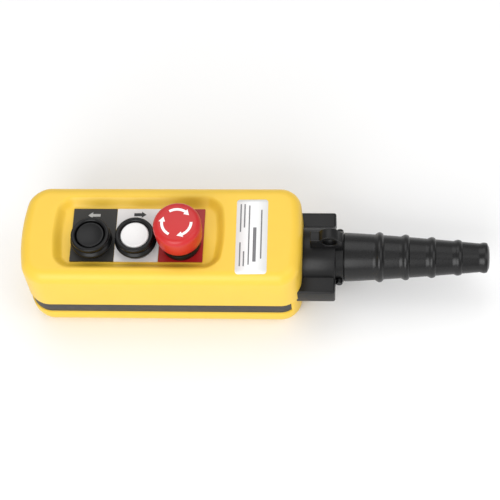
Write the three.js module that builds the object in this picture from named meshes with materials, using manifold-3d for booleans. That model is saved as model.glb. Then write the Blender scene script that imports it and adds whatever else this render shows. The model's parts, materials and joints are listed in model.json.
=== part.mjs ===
// Hand-held pendant control station: two push buttons and a mushroom-head emergency stop in a
// yellow two-part housing, with a black cable neck and a ribbed rubber boot.
// Millimetres. +Z points out of the front, +X from the hand end towards the cable.
// The origin lies under the middle of the whole object, in the plane of the housing's back.

import * as THREE from 'three';
import { mergeVertices } from 'three/addons/utils/BufferGeometryUtils.js';
import Module from 'manifold-3d';

const wasm = await Module();
wasm.setup();

// ---- driving dimensions ----

// housing
const bodyLength = 190.3;
const bodyWidth = 73;
const bodyHeight = 68;
const bodyCorner = 13.5;        // plan radius of the corners
const handBow = 3;              // how far the hand end bows outwards
const cableBow = 1.5;           // how far the cable end bows outwards
const frontEdge = 8;            // round edge of the front cover
const backEdge = 11;            // round edge of the rear cover
const draft = 0.6;              // how much narrower the front is than the parting line
const wall = 2.8;
const partingZ = 30;            // lower edge of the front cover
const sealHeight = 12;
const sealThickness = 2.8;
const sealRecess = 0.8;
const sealStop = 7.3;           // the seal ends this far before the cable end
const tongueThickness = 1.6;
const tongueRise = 3;           // how far the rear cover's tongue stands above the parting line

// well for the operators
const wellDepth = 6;
const wellFloor = 3;            // thickness of the operator panel
const wellMargin = 0.5;         // floor showing beside the plates
const wellRun = 8;              // plan width of the sloping side walls
const wellEndRun = 9;
const wellBow = 3.5;            // how far the well's ends bow outwards
const wellCorner = 3;
const wellShift = 1;            // how far the rim's centre stands towards the cable

// operators
const stationCount = 3;
const firstStation = 50;      // from the hand end
const operatorY = -6.2;
const plateLength = 40;
const plateThickness = 0.8;
const plateJoint = 0.3;
const barrelRadius = 10.9;
const barrelGap = 8.2;          // between neighbouring barrels
const footRim = 1.1;            // bezel's foot on the plate, beyond the barrel
const flangeRim = 3.3;          // bezel's widest ring beyond the barrel
const flangeRise = 5;           // foot to the start of the widest ring
const flangeBand = 1.6;         // height of the widest ring
const nutRim = 4.1;             // nut's corners beyond the barrel
const bezelRim = 2.1;           // bezel beyond the barrel
const bezelRise = 13.5;         // bezel above the plates
const bezelWall = 3.5;          // bezel's outside beyond the cap
const capRise = 12.5;           // cap above the plates
const buttonTravel = 4.5;
const stopRadius = 16;
const stopRise = 30;            // mushroom top above the plates
const stopHeight = 19;          // height of the mushroom itself
const stopTravel = 5;
const stopShaftRadius = 6;
const stopFootInset = 2.9;      // collar's foot inside the mushroom's edge
const stopFootRise = 3.2;       // height of the collar's foot

// contact blocks
const blockWidth = 23;
const blockDepth = 27;
const blockBottom = 12;
const blockTop = 41.5;
const ledgeDepth = 41;
const chamberWidth = 9.2;
const chamberDepth = 23;
const terminalWidth = 6.8;
const terminalThickness = 1;
const terminalScrewY = 17.2;
const bridgeThickness = 0.8;

// cable neck
const axisZ = 32;               // height of the cable's axis
const wingMargin = 5.9;         // the housing's side beyond the wing's end
const wingThickness = 14.6;
const wingReach = 22.3;         // beyond the housing
const neckKeep = 8.6;           // depth of the flange that holds the neck inside the housing
const throatRadius = 20.75;     // round middle of the neck between the wings
const collarRadius = 17.4;
const collarReach = 27.7;       // beyond the housing
const collarBore = 14.8;
const passageBore = 12;
const lugThickness = 7.5;
const lugHole = 4.5;
const lugHoleX = 18.7;          // hole centre beyond the housing
const lugHoleRise = 28;         // hole centre above the cable's axis
const lugRadius = 7.4;
const lugStart = 5.7;           // beyond the housing
const lugShelf = 3;             // the tab's shelf above the hole's centre
const lugFall = 1.7;            // how far the shelf falls towards the collar's mouth

// boot
const bootLength = 98.3;
const bootRoot = 11;            // length held inside the collar
const bootBase = 16.75;
const bootTip = 9.25;
const bootRootWall = 2.05;
const bootMouth = 7.2;          // radius of the flat end face
const bootWall = 4.3;
const ribCount = 5;
const ribFirst = 24.6;
const ribPitch = 17.7;
const ribHalf = 2.5;

// fasteners
const coverScrewX = [18, 164.3];   // from the hand end
const coverScrewY = 21;
const screwShank = 1.9;
const screwHead = 3.4;

// rating label
const labelLength = 52.8;
const labelWidth = 21;
const labelThickness = 0.3;
const labelSetback = 32.8;      // label centre from the cable end
const labelY = -1.8;

// fits
const seat = 0.2;               // between pieces that rest on each other
const fit = 0.3;                // between pieces that pass through each other

// ---- derived places ----
const totalLength = bodyLength + collarReach + bootLength;
const handX = -totalLength / 2;
const cableX = handX + bodyLength;
const bodyHalf = (bodyLength - handBow - cableBow) / 2;
const bodyX = handX + handBow + bodyHalf;
const mouthX = cableX + collarReach;
const panelZ = bodyHeight - wellDepth;
const panelBack = panelZ - wellFloor;
const plateTop = panelZ + seat + plateThickness;
const sealBottom = partingZ - sealHeight;
const stationPitch = 2 * barrelRadius + barrelGap;
const flangeRadius = barrelRadius + flangeRim;
const bezelRadius = barrelRadius + bezelRim;
const capRadius = bezelRadius - bezelWall;
const wingWidth = bodyWidth - 2 * wingMargin;
const bootRootRadius = collarBore - fit;
const tongueInset = sealRecess + sealThickness + fit;
const tongueTop = partingZ + tongueRise;
const stationX = (index) => handX + firstStation + index * stationPitch;
const wellX = stationX((stationCount - 1) / 2);

// ---- solids from three.js geometries ----

function triangleVolume(position, a, b, c) {
  const p = new THREE.Vector3().fromBufferAttribute(position, a);
  const q = new THREE.Vector3().fromBufferAttribute(position, b);
  const r = new THREE.Vector3().fromBufferAttribute(position, c);
  return p.dot(q.cross(r)) / 6;
}

// A closed solid of merged vertices, with its faces turned outwards.
function toSolid(geometry) {
  const bare = geometry.clone();
  bare.deleteAttribute('normal');
  bare.deleteAttribute('uv');
  const merged = mergeVertices(bare, 1e-4);
  const { position } = merged.attributes;
  const triangles = [];
  let volume = 0;
  for (let i = 0; i < merged.index.count; i += 3) {
    const [a, b, c] = [0, 1, 2].map((k) => merged.index.getX(i + k));
    if (a !== b && b !== c && c !== a) {
      triangles.push(a, b, c);
      volume += triangleVolume(position, a, b, c);
    }
  }
  if (volume < 0) triangles.reverse();
  return new wasm.Manifold(new wasm.Mesh({
    numProp: 3,
    vertProperties: Float32Array.from(position.array),
    triVerts: Uint32Array.from(triangles),
  }));
}

function toGeometry(solid) {
  const mesh = solid.getMesh();
  const geometry = new THREE.BufferGeometry();
  geometry.setAttribute('position', new THREE.BufferAttribute(mesh.vertProperties, 3));
  geometry.setIndex(new THREE.BufferAttribute(mesh.triVerts, 1));
  return geometry;
}

function join(...shapes) {
  return toGeometry(shapes.map(toSolid).reduce((sum, shape) => sum.add(shape)));
}

function cut(base, ...tools) {
  return toGeometry(tools.map(toSolid).reduce((rest, tool) => rest.subtract(tool), toSolid(base)));
}

function common(first, second) {
  return toGeometry(toSolid(first).intersect(toSolid(second)));
}

// ---- shapes ----

// Block between two corners.
function block(x, y, z) {
  const geometry = new THREE.BoxGeometry(x[1] - x[0], y[1] - y[0], z[1] - z[0]);
  return geometry.translate((x[0] + x[1]) / 2, (y[0] + y[1]) / 2, (z[0] + z[1]) / 2);
}

// Block centred on x and y.
function centred(x, width, y, depth, z) {
  return block([x - width / 2, x + width / 2], [y - depth / 2, y + depth / 2], z);
}

// Upright cylinder.
function rod(x, y, radius, z, sides = 12) {
  const geometry = new THREE.CylinderGeometry(radius, radius, z[1] - z[0], sides);
  return geometry.rotateX(Math.PI / 2).translate(x, y, (z[0] + z[1]) / 2);
}

// Cylinder along X on the cable's axis.
function axialRod(radius, x, sides = 28) {
  const geometry = new THREE.CylinderGeometry(radius, radius, x[1] - x[0], sides);
  return geometry.rotateZ(Math.PI / 2).translate((x[0] + x[1]) / 2, 0, axisZ);
}

// Cylinder along Y.
function crossRod(x, z, radius, y, sides = 12) {
  const geometry = new THREE.CylinderGeometry(radius, radius, y[1] - y[0], sides);
  return geometry.translate(x, (y[0] + y[1]) / 2, z);
}

// Turned piece about an upright axis, from [radius, z] points.
function turned(x, y, profile, sides) {
  const points = profile.map(([radius, z]) => new THREE.Vector2(radius, z));
  return new THREE.LatheGeometry(points, sides).rotateX(Math.PI / 2).translate(x, y, 0);
}

// Ring of points round a rectangle with round corners and bowed ends, the +X end first.
function outline({ x, halfX, halfY, corner, bows = [0, 0] }, cornerSteps, endSteps) {
  const points = [];
  const quarter = Math.PI / 2;
  for (const side of [1, -1]) {
    const bow = side > 0 ? bows[0] : bows[1];
    const near = new THREE.EllipseCurve(
      x + side * (halfX - corner), side * (corner - halfY), corner, corner,
      side > 0 ? -quarter : quarter, side > 0 ? 0 : 2 * quarter);
    const far = new THREE.EllipseCurve(
      x + side * (halfX - corner), side * (halfY - corner), corner, corner,
      side > 0 ? 0 : 2 * quarter, side > 0 ? quarter : 3 * quarter);
    const end = new THREE.QuadraticBezierCurve(
      new THREE.Vector2(x + side * halfX, side * (corner - halfY)),
      new THREE.Vector2(x + side * (halfX + 2 * bow), 0),
      new THREE.Vector2(x + side * halfX, side * (halfY - corner)));
    points.push(...near.getPoints(cornerSteps));
    points.push(...end.getPoints(endSteps).slice(1, -1));
    points.push(...far.getPoints(cornerSteps));
  }
  return points;
}

// Closed skin over outlines at rising heights.
function loft(levels, cornerSteps = 4, endSteps = 2) {
  const rings = levels.map((level) => outline(level, cornerSteps, endSteps));
  const count = rings[0].length;
  const vertices = [];
  rings.forEach((ring, k) => ring.forEach((p) => vertices.push(p.x, p.y, levels[k].z)));
  vertices.push(levels[0].x, 0, levels[0].z);
  vertices.push(levels.at(-1).x, 0, levels.at(-1).z);
  const bottom = count * rings.length;
  const lastRing = count * (rings.length - 1);
  const faces = [];
  for (let i = 0; i < count; i += 1) {
    const next = (i + 1) % count;
    for (let k = 0; k < rings.length - 1; k += 1) {
      const low = k * count;
      const high = low + count;
      faces.push(low + i, low + next, high + next, low + i, high + next, high + i);
    }
    faces.push(bottom, next, i, bottom + 1, lastRing + i, lastRing + next);
  }
  const geometry = new THREE.BufferGeometry();
  geometry.setAttribute('position', new THREE.Float32BufferAttribute(vertices, 3));
  geometry.setIndex(faces);
  return geometry;
}

// The housing's outline at a height, moved inwards by an inset.
function bodyLevel(z, inset = 0) {
  const straight = bodyHeight - frontEdge - partingZ;
  const lean = draft * Math.max(0, z - partingZ) / straight;
  return {
    z,
    x: bodyX,
    halfX: bodyHalf - inset - Math.min(lean, draft),
    halfY: bodyWidth / 2 - inset - Math.min(lean, draft),
    corner: Math.max(bodyCorner - inset, wall),
    bows: [cableBow, handBow],
  };
}

// Levels of a round edge that closes a skin upwards (turn 1) or downwards (turn -1).
function edgeLevels(z, radius, inset, turn, steps = 3) {
  const levels = [];
  for (let i = 1; i <= steps; i += 1) {
    const angle = (Math.PI / 2) * (i / steps);
    const height = z + turn * radius * Math.sin(angle);
    const level = bodyLevel(z, inset + radius * (1 - Math.cos(angle)));
    levels.push({ ...level, z: height });
  }
  return turn > 0 ? levels : levels.reverse();
}

// The well's outline, from its floor (share 0) to its rim (share 1), widened by an amount.
function wellLevel(z, share, widen = 0) {
  return {
    z,
    x: wellX + wellShift * share,
    halfX: stationCount * stationPitch / 2 + wellMargin + wellEndRun * share + widen,
    halfY: plateLength / 2 + wellMargin + wellRun * share + widen,
    corner: wellCorner + widen,
    bows: [wellBow, wellBow],
  };
}

// ---- the model ----
const barrelSides = 20;         // facets of the operators' round surfaces
const station = new THREE.Group();
const finish = (color, roughness, metalness = 0) =>
  new THREE.MeshStandardMaterial({ color, roughness, metalness });
const yellow = finish(0xf0c83c, 0.45);
const blackPlastic = finish(0x232325, 0.5);
const rubber = finish(0x1c1c1e, 0.6);
const greySeal = finish(0x55555c, 0.7);
const whitePlastic = finish(0xe6e6e4, 0.4);
const redPlastic = finish(0xd0303a, 0.4);
const redPlate = finish(0xc4202c, 0.5);
const natural = finish(0xd8d4c4, 0.5);
const steel = finish(0xb8bac0, 0.35, 0.9);
const brass = finish(0xc8a24c, 0.35, 0.9);

function add(name, geometry, material) {
  const closed = toGeometry(toSolid(geometry));
  closed.computeVertexNormals();
  const mesh = new THREE.Mesh(closed, material);
  mesh.name = name;
  station.add(mesh);
}

// ---- housing ----

// Opening in the end walls for the neck's wings and barrel.
function neckNotch() {
  const x = [cableX - bodyCorner, cableX + bodyCorner];
  const half = wingThickness / 2 + fit;
  const wings = block(x, [-wingWidth / 2 - fit, wingWidth / 2 + fit], [axisZ - half, axisZ + half]);
  return join(wings, axialRod(throatRadius + fit, x));
}

function frontCover() {
  const skirt = bodyHeight - frontEdge;
  const outer = loft([
    bodyLevel(partingZ),
    bodyLevel(skirt),
    ...edgeLevels(skirt, frontEdge, 0, 1),
  ]);
  const inner = loft([
    bodyLevel(partingZ - 1, wall),
    bodyLevel(skirt, wall),
    ...edgeLevels(skirt, frontEdge - wall, wall, 1, 2),
  ]);
  const pan = loft([
    wellLevel(panelBack, 0, wall),
    wellLevel(bodyHeight - wall / 2, 1, wall),
  ]);
  const slope = [0, 0.3, 0.7, 1].map((share) => {
    const rise = (1 - Math.cos(Math.PI * share)) / 2;
    return wellLevel(panelZ + wellDepth * rise, share);
  });
  const well = loft([...slope, wellLevel(bodyHeight + 1, 1)]);
  const bosses = [];
  const screwHoles = [];
  for (const x of coverScrewX) {
    for (const side of [-1, 1]) {
      const y = side * coverScrewY;
      bosses.push(rod(handX + x, y, screwShank + wall, [tongueTop + 2 * fit, bodyHeight - wall]));
      screwHoles.push(rod(handX + x, y, screwShank + fit, [partingZ, partingZ + 20]));
    }
  }
  const operatorHoles = [];
  for (let i = 0; i < stationCount; i += 1) {
    const radius = barrelRadius + fit;
    operatorHoles.push(rod(stationX(i), operatorY, radius, [panelBack - 1, panelZ + 1], barrelSides));
  }
  const inside = common(join(pan, ...bosses), outer);
  return cut(join(cut(outer, inner), inside), well, ...screwHoles, ...operatorHoles, neckNotch());
}

function rearCover() {
  const outer = loft([
    ...edgeLevels(backEdge, backEdge, 0, -1),
    bodyLevel(backEdge),
    bodyLevel(sealBottom - seat),
  ]);
  const cavity = loft([
    ...edgeLevels(backEdge, backEdge - wall, wall, -1, 2),
    bodyLevel(backEdge, wall),
    bodyLevel(partingZ + 1, wall),
  ]);
  const raised = common(
    loft([bodyLevel(sealBottom - 1), bodyLevel(partingZ - seat)]),
    block([cableX - sealStop + fit, cableX + 1], [-bodyWidth, bodyWidth], [0, bodyHeight]));
  const tongue = cut(
    loft([bodyLevel(wall, tongueInset), bodyLevel(tongueTop, tongueInset)]),
    loft([
      bodyLevel(wall - 1, tongueInset + tongueThickness),
      bodyLevel(tongueTop + 1, tongueInset + tongueThickness),
    ]),
    block([cableX - neckKeep - fit, cableX], [-bodyWidth, bodyWidth], [0, bodyHeight]));
  const posts = [];
  const bores = [];
  for (const x of coverScrewX) {
    for (const side of [-1, 1]) {
      const y = side * coverScrewY;
      const sink = screwHead + fit;
      posts.push(rod(handX + x, y, sink + tongueThickness, [wall / 2, tongueTop + fit]));
      bores.push(rod(handX + x, y, screwShank + fit, [-1, partingZ + 10]));
      bores.push(rod(handX + x, y, sink, [-1, blockBottom]));
    }
  }
  const shell = join(cut(join(outer, raised), cavity), common(join(tongue, ...posts), joinedCore()));
  return cut(shell, ...bores, neckNotch());
}

// Everything inside the housing's outer faces, up to the screws' posts.
function joinedCore() {
  return loft([
    ...edgeLevels(backEdge, backEdge, 0, -1),
    bodyLevel(backEdge),
    bodyLevel(partingZ + 10),
  ]);
}

function seamSeal() {
  const z = [sealBottom, partingZ - seat];
  const ring = cut(
    loft([bodyLevel(z[0], sealRecess), bodyLevel(z[1], sealRecess)]),
    loft([
      bodyLevel(z[0] - 1, sealRecess + sealThickness),
      bodyLevel(z[1] + 1, sealRecess + sealThickness),
    ]));
  return cut(ring, block([cableX - sealStop, cableX + 1], [-bodyWidth, bodyWidth], [0, bodyHeight]));
}

// Cross-recessed screw, head down, standing on its head's underside.
function coverScrew(x, y) {
  const head = blockBottom - seat;
  const bottom = head - screwHead;
  const body = turned(x, y, [
    [0, bottom],
    [screwHead * 0.7, bottom],
    [screwHead, bottom + 1.2],
    [screwHead, head],
    [screwShank, head],
    [screwShank, partingZ + 16],
    [0, partingZ + 17.5],
  ], 12);
  const slot = [bottom - 1, bottom + 1.6];
  return cut(body, centred(x, screwHead * 1.1, y, 0.9, slot), centred(x, 0.9, y, screwHead * 1.1, slot));
}

add('front_cover', frontCover(), yellow);
add('rear_cover', rearCover(), yellow);
add('seam_seal', seamSeal(), greySeal);
coverScrewX.forEach((x, end) => {
  [-1, 1].forEach((side, row) => {
    const name = `cover_screw_${2 * end + row + 1}`;
    add(name, coverScrew(handX + x, side * coverScrewY), steel);
  });
});

const labelZ = bodyHeight + seat;
add('rating_label', loft([0, labelThickness].map((rise) => ({
  z: labelZ + rise,
  x: 0,
  halfX: labelWidth / 2,
  halfY: labelLength / 2,
  corner: 2,
})), 4, 1).translate(cableX - labelSetback, labelY, 0), whitePlastic);

// ---- operators ----

function legendPlate(x) {
  const plate = centred(x, stationPitch - plateJoint, 0, plateLength, [panelZ + seat, plateTop]);
  return cut(plate, rod(x, operatorY, barrelRadius + fit, [panelZ, plateTop + 1], barrelSides));
}

const barrelBottom = blockTop + 0.5;
const lipTop = barrelBottom + 2.2;
const lipBore = 4.2;
const barrelWall = 2.8;
const boreRadius = barrelRadius - barrelWall;
const capSeatZ = panelZ - 2;
const capBore = capRadius + 0.4;
const bezelWaist = 0.7;

function buttonBezel(x) {
  const base = plateTop + seat;
  const top = plateTop + bezelRise;
  const lip = (bezelRadius - capBore) / 2;
  return turned(x, operatorY, [
    [lipBore, barrelBottom],
    [barrelRadius, barrelBottom],
    [barrelRadius, base],
    [barrelRadius + footRim, base],
    [flangeRadius, base + flangeRise],
    [flangeRadius, base + flangeRise + flangeBand],
    [bezelRadius - bezelWaist, base + flangeRise + 2 * flangeBand],
    [bezelRadius, top - lip],
    [bezelRadius - lip, top],
    [capBore, top - lip * 0.6],
    [capBore, capSeatZ],
    [boreRadius, capSeatZ],
    [boreRadius, lipTop],
    [lipBore, lipTop],
    [lipBore, barrelBottom],
  ], barrelSides);
}

const capBottom = capSeatZ + buttonTravel + 1.5;
const capSkin = 2;
const guideBottom = panelBack - 0.8;
const stemRadius = 3;
const stemBottom = blockTop - 3.5;

function buttonCap(x) {
  const top = plateTop + capRise;
  return turned(x, operatorY, [
    [0, top],
    [capRadius - 1, top],
    [capRadius - 0.3, top - 0.3],
    [capRadius, top - 1],
    [capRadius, capBottom],
    [capRadius - 1.2, capBottom],
    [capRadius - 1.2, top - capSkin],
    [0, top - capSkin],
  ], barrelSides);
}

function buttonPlunger(x) {
  const guide = boreRadius - fit;
  return turned(x, operatorY, [
    [0, stemBottom],
    [stemRadius, stemBottom],
    [stemRadius, guideBottom],
    [guide, guideBottom],
    [guide, capBottom - 0.8],
    [5, capBottom - 0.8],
    [5, plateTop + capRise - capSkin - seat],
    [0, plateTop + capRise - capSkin - seat],
  ], 16);
}

class Helix extends THREE.Curve {
  constructor(radius, turns, bottom, top) {
    super();
    Object.assign(this, { radius, turns, bottom, top });
  }

  getPoint(t, target = new THREE.Vector3()) {
    const angle = 2 * Math.PI * this.turns * t;
    const z = this.bottom + (this.top - this.bottom) * t;
    return target.set(this.radius * Math.cos(angle), this.radius * Math.sin(angle), z);
  }
}

const springTurns = 4;
const springWire = 0.5;
const springBottom = lipTop + seat + springWire;
const springTop = guideBottom - seat - springWire;

// Compression spring between the barrel's lip and the plunger's shoulder.
function returnSpring(x) {
  const section = new THREE.Shape().absarc(0, 0, springWire, 0, 2 * Math.PI);
  const path = new Helix((boreRadius + stemRadius) / 2 + 0.3, springTurns, springBottom, springTop);
  const wire = new THREE.ExtrudeGeometry(section, {
    steps: springTurns * 8,
    curveSegments: 3,
    extrudePath: path,
  });
  return wire.translate(x, operatorY, 0);
}

function fixingNut(x) {
  const z = [panelBack - seat - 4.2, panelBack - seat];
  return cut(
    rod(x, operatorY, barrelRadius + nutRim, z, 6),
    rod(x, operatorY, barrelRadius + fit, [0, bodyHeight], barrelSides));
}

// Contact block on the barrel's end, with a chamber for the moving contact and two ledges
// for the terminals. contactZ is the underside of the fixed contacts.
function contactBlock(x, contactZ) {
  const y = operatorY;
  const body = centred(x, blockWidth, y, blockDepth, [blockBottom, blockTop]);
  const ledges = centred(x, blockWidth, y, ledgeDepth, [blockBottom, contactZ - fit]);
  const socket = rod(x, y, barrelRadius + fit + 2.2, [blockTop - 1, blockTop + 6.5], barrelSides);
  const chamber = centred(x, chamberWidth, y, chamberDepth, [blockBottom + 3, blockTop - 2.5]);
  const throat = rod(x, y, stemRadius + 1.6, [blockTop - 4, blockTop + 1]);
  const recess = rod(x, y, barrelRadius + fit, [blockTop, blockTop + 8], barrelSides);
  const slots = centred(
    x, terminalWidth + 2 * fit, y, blockDepth + 1,
    [contactZ - fit, contactZ + terminalThickness + fit]);
  const holes = [-1, 1].map((side) =>
    rod(x, y + side * terminalScrewY, 2, [contactZ - 7.5, contactZ + 1], 10));
  return cut(join(body, ledges, socket), chamber, throat, recess, slots, ...holes);
}

// Fixed contact: a brass strip from the chamber out to the terminal screw.
function terminal(x, side, contactZ) {
  const ends = [6, ledgeDepth / 2 - fit].map((reach) => operatorY + side * reach);
  const strip = block(
    [x - terminalWidth / 2, x + terminalWidth / 2],
    [Math.min(...ends), Math.max(...ends)],
    [contactZ, contactZ + terminalThickness]);
  return cut(strip, rod(x, operatorY + side * terminalScrewY, 2, [0, bodyHeight], 10));
}

function terminalScrew(x, side, contactZ) {
  const z = contactZ + terminalThickness + seat;
  const y = operatorY + side * terminalScrewY;
  const body = turned(x, y, [
    [0, contactZ - 6.5],
    [1.6, contactZ - 6.5],
    [1.6, z],
    [3, z],
    [3, z + 2.2],
    [0, z + 2.2],
  ], 10);
  return cut(body, centred(x, 7, y, 0.8, [z + 1.2, z + 3]));
}

const carrierWidth = 6.4;
const carrierBottom = blockBottom + 8.5;

function contactCarrier(x, bridgeZ) {
  const stem = centred(x, carrierWidth, operatorY, carrierWidth, [carrierBottom, stemBottom - seat]);
  const window = centred(
    x, carrierWidth - 1.4, operatorY, carrierWidth + 1,
    [bridgeZ - fit, bridgeZ + bridgeThickness + fit]);
  return cut(stem, window);
}

function contactBridge(x, bridgeZ) {
  return centred(
    x, carrierWidth - 2, operatorY, chamberDepth - 2,
    [bridgeZ, bridgeZ + bridgeThickness]);
}

// A contact block with its fixed and moving contacts.
function contactSet(name, x, contactZ, bridgeZ, material) {
  add(`${name}_contact_block`, contactBlock(x, contactZ), material);
  [-1, 1].forEach((side, i) => {
    add(`${name}_terminal_${i + 1}`, terminal(x, side, contactZ), brass);
    add(`${name}_terminal_screw_${i + 1}`, terminalScrew(x, side, contactZ), steel);
  });
  add(`${name}_contact_carrier`, contactCarrier(x, bridgeZ), whitePlastic);
  add(`${name}_contact_bridge`, contactBridge(x, bridgeZ), brass);
}

const openContactZ = 21.5;      // closed by pressing
const closedContactZ = 28;      // opened by pressing

function pushButton(name, index, plateMaterial, capMaterial) {
  const x = stationX(index);
  const bridgeZ = openContactZ + terminalThickness + fit + buttonTravel;
  add(`${name}_legend_plate`, legendPlate(x), plateMaterial);
  add(`${name}_bezel`, buttonBezel(x), blackPlastic);
  add(`${name}_cap`, buttonCap(x), capMaterial);
  add(`${name}_plunger`, buttonPlunger(x), natural);
  add(`${name}_spring`, returnSpring(x), steel);
  add(`${name}_nut`, fixingNut(x), blackPlastic);
  contactSet(name, x, openContactZ, bridgeZ, natural);
}

pushButton('left', 0, blackPlastic, blackPlastic);
pushButton('right', 1, whitePlastic, whitePlastic);

// ---- emergency stop ----
const stopX = stationX(2);
const stopTop = plateTop + stopRise;
const stopBottom = stopTop - stopHeight;
const stopSkirt = 2.4;
const stopRoof = stopBottom + 7.5;
const stopBoss = stopShaftRadius + 2.5;
const stopPocket = 7;           // roof left above the shaft's pocket

function stopHead() {
  return turned(stopX, operatorY, [
    [0, stopTop],
    [stopRadius - 3.5, stopTop - 0.2],
    [stopRadius - 1.5, stopTop - 0.9],
    [stopRadius - 0.3, stopTop - 2.2],
    [stopRadius, stopTop - 4],
    [stopRadius - 0.4, stopBottom + 5],
    [stopRadius - 0.9, stopBottom + 0.8],
    [stopRadius - 1.5, stopBottom],
    [stopRadius - stopSkirt, stopBottom],
    [stopRadius - stopSkirt, stopRoof],
    [stopBoss, stopRoof],
    [stopBoss, stopBottom + 4],
    [stopShaftRadius + fit, stopBottom + 4],
    [stopShaftRadius + fit, stopTop - stopPocket],
    [0, stopTop - stopPocket],
  ], 24);
}

function stopCollar() {
  const base = plateTop + seat;
  const inner = stopRadius - stopSkirt - 1;
  const recess = stopBoss + 0.8;
  const rimZ = stopRoof - stopTravel - 1;
  return turned(stopX, operatorY, [
    [lipBore, barrelBottom],
    [barrelRadius, barrelBottom],
    [barrelRadius, base],
    [stopRadius - stopFootInset, base],
    [stopRadius - stopFootInset, base + stopFootRise],
    [inner, base + stopFootRise + 1.2],
    [inner, rimZ],
    [recess, rimZ],
    [recess, base + 4],
    [boreRadius, base + 4],
    [boreRadius, lipTop],
    [lipBore, lipTop],
    [lipBore, barrelBottom],
  ], 24);
}

function stopShaft() {
  return turned(stopX, operatorY, [
    [0, stemBottom],
    [stemRadius, stemBottom],
    [stemRadius, guideBottom],
    [stopShaftRadius, guideBottom],
    [stopShaftRadius, stopTop - stopPocket - fit],
    [0, stopTop - stopPocket - fit],
  ], 16);
}

// Ring that holds the shaft down until the head is turned.
function latchRing() {
  const z = [panelZ, panelZ + 3.5];
  return cut(
    rod(stopX, operatorY, boreRadius - fit / 2, z, 16),
    rod(stopX, operatorY, stopShaftRadius + fit, [0, bodyHeight], 16));
}

add('stop_legend_plate', legendPlate(stopX), redPlate);
add('stop_collar', stopCollar(), blackPlastic);
add('stop_head', stopHead(), redPlastic);
add('stop_shaft', stopShaft(), natural);
add('stop_latch_ring', latchRing(), natural);
add('stop_spring', returnSpring(stopX), steel);
add('stop_nut', fixingNut(stopX), blackPlastic);
contactSet('stop', stopX, closedContactZ, closedContactZ - fit - bridgeThickness, redPlate);

// ---- cable neck and boot ----
const wingStart = cableX - sealStop + 2 * fit;
const saddleStart = cableX - 30;
const saddleEnd = cableX - 13;
const saddleWidth = 30;
const saddleTop = axisZ - 6.5;
const clampBottom = axisZ + 6.5;
const clampScrewY = 11;
const clampX = (saddleStart + saddleEnd) / 2 - 1;
const bootScrewX = mouthX - 2.8;
const bootScrewHead = 2.35;
const bootScrewHeight = 3;
const collarInner = mouthX - bootRoot - fit;

// Tall tab with a shelf, an arch over the hole and a falling end at the mouth.
function suspensionLug() {
  const shape = new THREE.Shape();
  const foot = axisZ + collarRadius - 1.5;
  const holeX = cableX + lugHoleX;
  const holeZ = axisZ + lugHoleRise;
  const archStart = Math.asin(lugShelf / lugRadius);
  const shelfZ = holeZ + lugShelf;
  shape.moveTo(cableX + lugStart, foot);
  shape.lineTo(mouthX, foot);
  shape.lineTo(mouthX, shelfZ - lugFall);
  shape.absarc(holeX, holeZ, lugRadius, archStart, Math.PI - archStart);
  shape.lineTo(cableX + lugStart, shelfZ);
  const tab = new THREE.ExtrudeGeometry(shape, {
    depth: lugThickness,
    bevelEnabled: false,
    curveSegments: 5,
  });
  return tab.rotateX(Math.PI / 2).translate(0, lugThickness / 2, 0);
}

function neckHousing() {
  const half = wingThickness / 2;
  const wingCorner = 2.5;
  const wings = loft([-half, half].map((rise) => ({
    z: axisZ + rise,
    x: (wingStart + cableX + wingReach) / 2,
    halfX: (cableX + wingReach - wingStart) / 2,
    halfY: wingWidth / 2,
    corner: wingCorner,
  })), 3, 1);
  const throat = axialRod(throatRadius, [saddleEnd - 1, cableX + wingReach]);
  const collar = axialRod(collarRadius, [cableX, mouthX]);
  const flangeX = [cableX - neckKeep, cableX - wall - cableBow - 1];
  const disc = join(
    axialRod(throatRadius + 2.5, flangeX),
    block(flangeX, [-wingWidth / 2 + 8, wingWidth / 2 - 8], [axisZ - half - 3, axisZ + half + 3]));
  const inside = wall + fit;
  const flange = common(
    disc, loft([bodyLevel(wall, inside), bodyLevel(bodyHeight - frontEdge, inside)]));
  const saddle = block(
    [saddleStart, saddleEnd], [-saddleWidth / 2, saddleWidth / 2], [saddleTop - 6, saddleTop]);
  const lugZ = axisZ + lugHoleRise;
  const screwHoles = [-1, 1].map((side) =>
    rod(clampX, side * clampScrewY, screwShank + fit, [0, axisZ]));
  const bootScrewHoles = [
    crossRod(bootScrewX, axisZ, screwShank + fit, [-collarRadius - 1, -collarBore + 2]),
    crossRod(bootScrewX, axisZ, screwShank + fit, [collarBore - 2, collarRadius + 1]),
  ];
  return cut(
    join(wings, throat, collar, flange, saddle, suspensionLug()),
    axialRod(passageBore, [saddleEnd - 2, mouthX]),
    axialRod(collarBore, [collarInner, mouthX + 1]),
    crossRod(cableX + lugHoleX, lugZ, lugHole, [-lugThickness, lugThickness], 16),
    ...screwHoles,
    ...bootScrewHoles);
}

function cordClamp() {
  const bar = block([clampX - 4.5, clampX + 4.5], [-saddleWidth / 2, saddleWidth / 2],
    [clampBottom, clampBottom + 4]);
  const holes = [-1, 1].map((side) =>
    rod(clampX, side * clampScrewY, screwShank + fit, [clampBottom - 1, clampBottom + 6]));
  return cut(bar, ...holes);
}

function clampScrew(side) {
  const seatZ = clampBottom + 4 + seat;
  const y = side * clampScrewY;
  const body = turned(clampX, y, [
    [0, saddleTop - 7],
    [screwShank, saddleTop - 7],
    [screwShank, seatZ],
    [screwHead, seatZ],
    [screwHead, seatZ + 2.4],
    [0, seatZ + 2.4],
  ], 12);
  return cut(body, centred(clampX, 2 * screwHead + 1, y, 0.9, [seatZ + 1.4, seatZ + 3]));
}

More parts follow.
